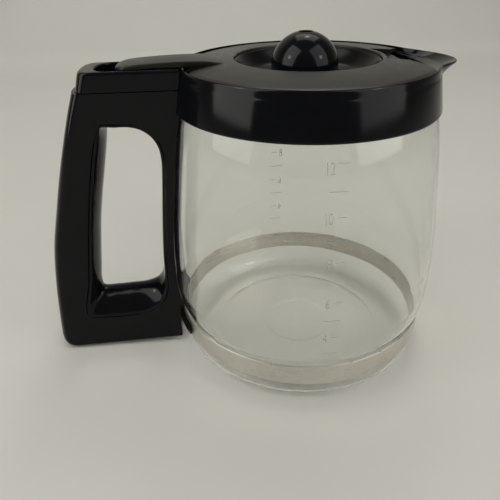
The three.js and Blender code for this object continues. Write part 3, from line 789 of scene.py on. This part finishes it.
def rays_onto(outline, others, centre):
    """For each outer point, the point of the inner outline on its ray from the centre."""
    cx, cz = centre
    polar = sorted(
        (math.atan2(z - cz, x - cx), math.hypot(x - cx, z - cz)) for x, z in others
    )
    polar = [(polar[-1][0] - TURN, polar[-1][1])] + polar + [(polar[0][0] + TURN, polar[0][1])]
    found = []
    for x, z in outline:
        a = math.atan2(z - cz, x - cx)
        for (a0, r0), (a1, r1) in zip(polar, polar[1:]):
            if a0 <= a <= a1:
                # straight chord between the two neighbouring points
                p0 = (r0 * math.cos(a0), r0 * math.sin(a0))
                p1 = (r1 * math.cos(a1), r1 * math.sin(a1))
                d = (math.cos(a), math.sin(a))
                det = (p1[0] - p0[0]) * -d[1] + d[0] * (p1[1] - p0[1])
                t = (p0[0] * -d[1] + d[0] * p0[1]) / -det if abs(det) > 1e-12 else 0
                r = (p0[0] + (p1[0] - p0[0]) * t) * d[0] + (p0[1] + (p1[1] - p0[1]) * t) * d[1]
                found.append((cx + r * d[0], cz + r * d[1]))
                break
    return found


HOLE_CENTRE = (-96, 76)
EDGE = 0.5                       # small rounding of the shell's straight edges


def make_shell():
    stations = round_stations(HANDLE_HALF, 28)
    rim = [s for s in stations if abs(s) < HANDLE_HALF - EDGE]
    ends = [HANDLE_HALF - EDGE, HANDLE_HALF - 0.3 * EDGE, HANDLE_HALF]
    stations = [-y for y in reversed(ends)] + rim + ends
    hole = grown(opening_side, GAP)

    def inner_at(y):
        past = max(0.0, abs(y) - (HANDLE_HALF - EDGE)) / EDGE
        widened = grown(hole, EDGE * (1 - math.sqrt(max(0.0, 1 - past * past))))
        return rays_onto(body_outline(y), widened, HOLE_CENTRE)

    return looped(body_outline, inner_at, stations)


def trough_outline(half, end, jar_end):
    """Plan of the thumb trough: straight sides from its jar end, and a round outer end."""
    depth = 7
    points = [
        (end + depth + depth * math.cos(a), half * math.sin(a))
        for a in (math.pi / 2 + math.pi * i / 32 for i in range(33))
    ]
    return [(jar_end, half), *points, (jar_end, -half)]


TROUGH_HALF, TROUGH_END, TROUGH_FLOOR = 10.7, -98.9, 134.3
shell = combined(
    mesh_object("handle_shell", *make_shell()), "DIFFERENCE",
    prism(trough_outline(TROUGH_HALF, TROUGH_END, -66.6), TROUGH_FLOOR, SEAM + 2),
)
placed(shell, "carafe", ["handle_body"], GLOSS, sharp=32)


def finger_edge(y):
    """The finger space's edge at a station: it swells in the middle, and rounds at the faces."""
    swell = max(0.0, 1 - (y / HANDLE_HALF) ** 2)
    side = grown(opening_side, -1.1)
    past = max(0.0, abs(y) - (LINER_HALF - 1.0))
    if past > 0:
        side = grown(side, 1.0 - math.sqrt(max(0.0, 1 - past * past)))
    return [
        (x + (mx - x) * swell, z + (mz - z) * swell)
        for (x, z), (mx, mz) in zip(side, opening_middle)
    ]


def make_liner():
    middle = [LINER_HALF * (i / 14 - 1) for i in range(29)]
    inner = [y for y in middle if abs(y) < LINER_HALF - 1.0]
    ends = [LINER_HALF - 1.0, LINER_HALF - 0.6, LINER_HALF - 0.25, LINER_HALF - 0.06, LINER_HALF]
    stations = [-y for y in reversed(ends)] + inner + ends

    def outer_at(y):
        past = max(0.0, abs(y) - (LINER_HALF - 0.25)) / 0.25
        return grown(opening_side, -0.12 * past)

    return looped(outer_at, finger_edge, stations)


liner = mesh_object("grip_liner", *make_liner())
placed(liner, "carafe", ["handle_liner"], GLOSS, sharp=50)


def arm_ring(back_x, z, inset, widen):
    """Plan of the arm at one level: its outside, then the trough's edge."""
    half = HANDLE_HALF - inset
    share = (RIM - z) / (RIM - COLLAR_LOW)
    radius = COLLAR_R_RIM + GAP + (COLLAR_R_LOW - COLLAR_R_RIM) * share + inset
    jar_x = -math.sqrt(radius * radius - half * half)
    outside = [(jar_x, half, z), (-80, half, z), (-95, half, z)]
    steps = 40
    for i in range(steps + 1):
        angle = math.pi * i / steps
        c, s = math.cos(angle), math.sin(angle)
        y = half * math.copysign(1, c) * abs(c) ** (2 / END_POWER)
        outside.append((back_x + inset + END_ROUND * (1 - abs(s) ** (2 / END_POWER)), y, z))
    outside += [(-95, -half, z), (-80, -half, z), (jar_x, -half, z)]
    half_trough = TROUGH_HALF + widen
    jar_x = -math.sqrt(radius * radius - half_trough * half_trough)
    plan = trough_outline(half_trough, TROUGH_END - widen, jar_x)
    return outside + [(x, y, z) for x, y in reversed(plan)]


def make_arm():
    z0 = low("handle_bridge").z
    end = low("handle_bridge").x
    levels = [
        (end + 0.35, z0, 0.25, 0.1), (end + 0.1, z0 + 0.1, 0.08, 0), (end + 0.2, z0 + 0.35, 0, 0),
        (end + 1.8, RIM - 3, 0, 0), (end + 2.3, RIM - 1.4, 0, 0), (end + 2.6, RIM - 0.8, 0.06, 0),
        (end + 3.0, RIM - 0.4, 0.2, 0.12), (end + 3.3, RIM - 0.12, 0.5, 0.35),
        (end + 3.7, RIM, 0.95, 0.65),
    ]
    return skinned([arm_ring(*level) for level in levels])


arm = mesh_object("handle_arm", *make_arm())
placed(arm, "carafe", ["handle_bridge"], GLOSS, sharp=32)

# ---- Lid ----------------------------------------------------------------------------------------
DISH_RIM_TOP, DISH_FLOOR = 157.5, 148.2
LID_EDGE_R, LID_EDGE_TOP = 56.4, 155.4
STEP_HALF, STEP_IN_R, STEP_END, STEP_FLOOR = 14, 36.4, 44.7, 154.6
NOTCH = [(STEP_END, -14.5), (49.9, -22.8), (54, -29), (70, -46),
         (70, 46), (54, 29), (49.9, 22.8), (STEP_END, 14.5)]
TAB_HALF, TAB_END = 10.1, low("lid_cover").x
TAB_TOP = high("lid_cover").z - 0.3
TAB_UPPER = [(-38, 156.9), (-46, TAB_TOP), (-60, TAB_TOP + 0.3), (-72, TAB_TOP - 0.1),
             (-82, TAB_TOP - 0.8), (-88.4, TAB_TOP - 1.7), (-89.4, TAB_TOP - 2.1)]
TAB_LOWER = [(-38, 155.6), (-56, RIM), (-72, RIM + 0.2), (-89, TAB_TOP - 4)]


def height_on(line, x):
    """Height of a line of (x, z) points, running towards -X, at x."""
    for (x0, z0), (x1, z1) in zip(line, line[1:]):
        if x >= x1:
            return z0 + (z1 - z0) * (x - x0) / (x1 - x0)
    return line[-1][1]


def core(radius):
    """A tool: everything within a radius of the lid's axis."""
    return mesh_object("tool", *lathe([(0, 140), (radius, 140), (radius, 170), (0, 170)], 192))


def make_flange():
    thick = 2.1
    profile = [
        (DISH_R, DISH_RIM_TOP - thick), (LID_R - 3, LEDGE + GAP + 0.3), (LID_R - 0.6, LEDGE + GAP),
        (LID_R, LEDGE + GAP + 0.3), (LID_R, LEDGE + GAP + 0.6), (LID_R - 0.6, LID_EDGE_TOP - 0.6),
        (LID_EDGE_R, LID_EDGE_TOP), (50, 156.4), (42, 157.15), (DISH_R + 0.6, DISH_RIM_TOP),
        (DISH_R, DISH_RIM_TOP - 0.5),
    ]
    radii = [0.5, 2, 0.3, 0.15, 0.15, 0.5, 0.7, 4, 4, 0.5, 0.4]
    flange = mesh_object("lid_flange", *lathe(filleted(profile, radii, 4), 256))
    edge = TAB_HALF + 0.05
    reliefs = []
    for side in (-1, 1):
        relief = [(-43.5, side * edge), (-70, side * edge), (-70, side * 25), (-54.2, side * 15.6)]
        reliefs.append(prism(relief, 140, 170))
    flange = combined(flange, "DIFFERENCE", *reliefs)
    wall = STEP_HALF + 1.4
    plate = combined(
        block(30, STEP_END, -wall, wall, STEP_FLOOR - 1.6, 155.4), "DIFFERENCE", core(DISH_R)
    )
    room = combined(
        block(30, STEP_END + 5, -STEP_HALF, STEP_HALF, STEP_FLOOR, 170), "DIFFERENCE",
        core(STEP_IN_R),
    )
    flange = combined(flange, "UNION", plate)
    return combined(flange, "DIFFERENCE", prism(NOTCH, 140, 170), room)


flange = softened(make_flange(), 0.22)
placed(flange, "lid", ["lid_cover"], SATIN)


def make_tab():
    """The thumb tab, with its rounded end and softened rim."""
    def half_plan(inset):
        points = [(-38 - 2 * i, TAB_HALF - inset) for i in range(22)]
        centre = TAB_END + 6
        for i in range(1, 25):
            a = math.pi / 2 * i / 24
            points.append((centre - (6 - inset) * math.sin(a), (TAB_HALF - inset) * math.cos(a)))
        return points

    spline_top = spline(TAB_UPPER, 60)
    levels = [
        (0.5, TAB_LOWER, 0.0), (0.12, TAB_LOWER, 0.12), (0, TAB_LOWER, 0.4), (0, spline_top, -0.9),
        (0.07, spline_top, -0.55), (0.28, spline_top, -0.24), (0.6, spline_top, -0.06),
        (1.1, spline_top, 0),
    ]
    rings = []
    for inset, line, lift in levels:
        half = half_plan(inset)
        half = [(x, max(y, 1e-4)) for x, y in half]
        ring = [(x, y, height_on(line, x) + lift) for x, y in half]
        ring += [(x, -y, z) for x, y, z in reversed(ring)]
        rings.append(ring)
    verts, faces = skinned(rings, caps=False)
    count = len(rings[0])
    for base, flip in ((0, True), ((len(rings) - 1) * count, False)):
        for i in range(count // 2 - 1):
            quad = (base + i, base + i + 1, base + count - 2 - i, base + count - 1 - i)
            faces.append(quad[::-1] if flip else quad)
    return verts, faces


tab = mesh_object("thumb_tab", *make_tab())
placed(tab, "lid", ["lid_cover"], SATIN, sharp=60, weighted=False)


def turned_along_y(name, profile, x, z, segments=64):
    """A lathe body turned about a line along Y; profile is (radius, y)."""
    verts, faces = lathe(profile, segments)
    return mesh_object(name, [(x + a, c, z + b) for a, b, c in verts], faces)


barrel = turned_along_y(
    "hinge_barrel",
    filleted([(1.6, -9.6), (3.3, -9.6), (3.3, 9.6), (1.6, 9.6)], 0.4, 3), HINGE_X, HINGE_Z,
)
placed(barrel, "lid", ["lid_cover"], SATIN)
web_plan = filleted([(HINGE_X - 2.4, -9.6), (HINGE_X + 2.4, -9.6), (HINGE_X + 2.4, 9.6),
                     (HINGE_X - 2.4, 9.6)], 0.5, 3)
web = prism(web_plan, HINGE_Z + 2.6, RIM + 1)
web.name = "hinge_web"
placed(web, "lid", ["lid_cover"], SATIN)


def make_dish():
    profile = [
        (DISH_R - GAP, DISH_RIM_TOP - 1.0), (DISH_R - 1, DISH_RIM_TOP - 1.5), (31.4, 153.0),
        (28.4, 149.9), (25, 148.5), (17, DISH_FLOOR), (9.8, DISH_FLOOR), (9.8, DISH_FLOOR - 1.7),
        (26, 146.7), (30, 148.1), (33.2, 151.4), (DISH_R - GAP, 154.6),
    ]
    radii = [0.3, 0.8, 2, 2, 2, 3, 0.3, 0.3, 3, 1.5, 1.5, 0.4]
    return mesh_object("lid_bowl", *lathe(filleted(profile, radii, 5), 192))


dish = make_dish()
placed(dish, "lid", ["lid_dish"], BOWL, weighted=False)


def make_knob():
    centre, radius, hole = 153.4, 15.9, 3.3
    tall = KNOB_TOP - centre
    outside = [
        (radius * math.cos(a), centre + tall * math.sin(a))
        for a in (math.pi * 0.425 * i / 40 for i in range(41))
    ]
    inside = [
        ((radius - 2) * math.cos(a), centre + (tall - 2.2) * math.sin(a))
        for a in (math.pi * (0.41 - 0.41 * i / 20) for i in range(21))
    ]
    rim = filleted(
        [outside[-1], (hole, KNOB_TOP - 0.25), (hole, KNOB_TOP - 2.4), inside[0]], 0.25, 4,
        closed=False,
    )
    foot = filleted(
        [inside[-1], (radius - 2, KNOB_BASE), (radius + 0.8, KNOB_BASE), outside[0]], 0.3, 3,
        closed=False,
    )
    profile = outside[:-1] + rim + inside[1:-1] + foot[:-1]
    verts, faces = lathe(profile, 160)
    return [(x + KNOB_X, y, z) for x, y, z in verts], faces


knob = mesh_object("lid_dome", *make_knob())
placed(knob, "lid", ["lid_knob"], GLOSS, sharp=50, weighted=False)


def make_skirt():
    profile = [
        (37, 151.2), (50.2, 150.6), (50.2, 144.6), (52.2, 144.2), (SKIRT_R, 146.6),
        (SKIRT_R, 152.4), (37, 153.4),
    ]
    skirt = mesh_object("lid_skirt", *lathe(filleted(profile, 0.5, 3), 192))
    gap = prism([(28, -16.2), (45, -16.2), (60, -27), (60, 27), (45, 16.2), (28, 16.2)], 130, 170)
    return combined(skirt, "DIFFERENCE", gap)


skirt = softened(make_skirt(), 0.25)
placed(skirt, "lid", ["lid_underside"], SATIN)

# ---- Carried-over CAD pieces --------------------------------------------------------------------
FIXINGS = ["band_screw", "band_nut", "collar_screw_left", "collar_screw_right", "hinge_pin",
           "lid_screw_1", "lid_screw_2", "lid_screw_3"]
for name in FIXINGS:
    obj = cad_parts[name]
    obj.data.materials.clear()
    obj.data.materials.append(FIXING)

# ---- Floor and backdrop -------------------------------------------------------------------------
def make_sweep():
    """Floor and backdrop in one sheet, in metres; it lies just under the jar without touching."""
    flat_end, radius, tall, near, half = 0.62, 0.5, 1.9, -1.6, 2.6
    drop = -0.0003
    line = [(near + (flat_end - near) * i / 8, drop) for i in range(9)]
    line += [(flat_end + radius * math.sin(a), radius - radius * math.cos(a) + drop)
             for a in (math.pi / 2 * i / 24 for i in range(1, 25))]
    line += [(flat_end + radius, radius + (tall - radius) * i / 4) for i in range(1, 5)]
    verts = [(x / MM, y / MM, z / MM) for y, z in line for x in (-half, half)]
    faces = [(2 * i, 2 * i + 1, 2 * i + 3, 2 * i + 2) for i in range(len(line) - 1)]
    return verts, faces


floor = mesh_object("stage_floor", *make_sweep())
for polygon in floor.data.polygons:
    if polygon.normal.z < 0 or polygon.normal.y > 0.5:
        polygon.flip()
floor.data.shade_smooth()
FLOOR = flat_look(
    "pale_floor", base=(0.69, 0.682, 0.63), rough=0.7, scale=40, strength=0.02, distance=0.0005,
    mottle=(0.985, 1.01),
)
floor.data.materials.append(FLOOR)

# ---- Camera -------------------------------------------------------------------------------------
CAMERA_AT = Vector((-0.0480, -0.2467, 0.2012))
CAMERA_FORWARD = Vector((0.0662, 0.8554, -0.5137)).normalized()
CAMERA_RIGHT = Vector((0.996, -0.0874, -0.017))
SENSOR_WIDTH, LENS = 36, 36.25


def make_camera():
    data = bpy.data.cameras.new("camera")
    data.sensor_width = SENSOR_WIDTH
    data.lens = LENS
    data.clip_start, data.clip_end = 0.01, 20
    camera = bpy.data.objects.new("camera", data)
    right = (CAMERA_RIGHT - CAMERA_RIGHT.dot(CAMERA_FORWARD) * CAMERA_FORWARD).normalized()
    up = right.cross(CAMERA_FORWARD)
    columns = Matrix((right, up, -CAMERA_FORWARD)).transposed()
    camera.matrix_world = Matrix.Translation(CAMERA_AT) @ columns.to_4x4()
    bpy.context.scene.collection.objects.link(camera)
    bpy.context.scene.camera = camera


make_camera()


# ---- Lights -------------------------------------------------------------------------------------
def panel(name, at, towards, size, radiance, colour=(1.0, 0.985, 0.95)):
    """A soft panel of the given radiance; it lights and reflects, and the camera doesn't see it."""
    data = bpy.data.lights.new(name, "AREA")
    data.shape = "RECTANGLE"
    data.size, data.size_y = size
    data.energy = radiance * math.pi * size[0] * size[1]
    data.color = colour
    light = bpy.data.objects.new(name, data)
    light.location = at
    light.rotation_euler = (Vector(towards) - Vector(at)).to_track_quat("-Z", "Y").to_euler()
    light.visible_camera = False
    bpy.context.scene.collection.objects.link(light)
    return light


LAMP_SIZE = (0.13, 0.13)


def lit_side(name, azimuth, elevation, distance, size, mirrored, lamp, soft, through_glass=True):
    """A window as seen from the object. One panel is what glossy pieces mirror, with a small
    bright lamp in it, and a second panel in the same place is what lights the floor."""
    a, e = math.radians(azimuth), math.radians(elevation)
    toward = Vector((math.cos(a) * math.cos(e), math.sin(a) * math.cos(e), math.sin(e)))
    aim = Vector((0, 0, 0.1))
    mirror = panel(name, aim + toward * distance, aim, size, mirrored)
    mirror.visible_diffuse = False
    mirror.visible_transmission = through_glass
    panel(name + "_lamp", aim + toward * (distance - 0.02), aim, LAMP_SIZE, lamp)
    panel(name + "_soft", aim + toward * distance, aim, size, soft).visible_glossy = False


lit_side("left_window", azimuth=198, elevation=33, distance=0.95, size=(0.74, 1.24),
         mirrored=2.7, lamp=9, soft=1.0, through_glass=False)
lit_side("right_window", azimuth=-37, elevation=33, distance=0.95, size=(0.80, 1.24),
         mirrored=1.7, lamp=9, soft=0.9)
lit_side("top_window", azimuth=74, elevation=62, distance=1.15, size=(0.80, 0.62),
         mirrored=1.7, lamp=9, soft=1.7)
front = panel("front_soft", at=(0, -1.0, 1.2), towards=(0, 0, 0), size=(1.2, 1.2), radiance=1.5)
front.visible_glossy = False
front.visible_transmission = False
sky = panel("sky_soft", at=(-0.35, 0.0, 1.6), towards=(-0.2, 0, 0), size=(2, 2), radiance=0.72)
sky.visible_glossy = False
# The rest of the room, which is seen only through the glass.
for side, (x, y) in {"near": (0, -2.2), "left": (-2.2, -0.6), "right": (2.2, -0.6)}.items():
    room = panel(
        side + "_room", at=(x, y, 1.2), towards=(0, 0, 0.2), size=(2.6, 2.2), radiance=0.42,
    )
    room.visible_glossy = False
    room.visible_diffuse = False

world = bpy.data.worlds.new("studio")
world.use_nodes = True
background = world.node_tree.nodes["Background"]
background.inputs["Color"].default_value = (1, 0.99, 0.97, 1)
background.inputs["Strength"].default_value = 0.13
scene = bpy.context.scene
scene.world = world
scene.view_settings.view_transform = "Standard"
# The glass needs many bounces, and its refracted light must not be blurred away.
scene.cycles.max_bounces = 24
scene.cycles.transmission_bounces = 24
scene.cycles.blur_glossy = 0.0
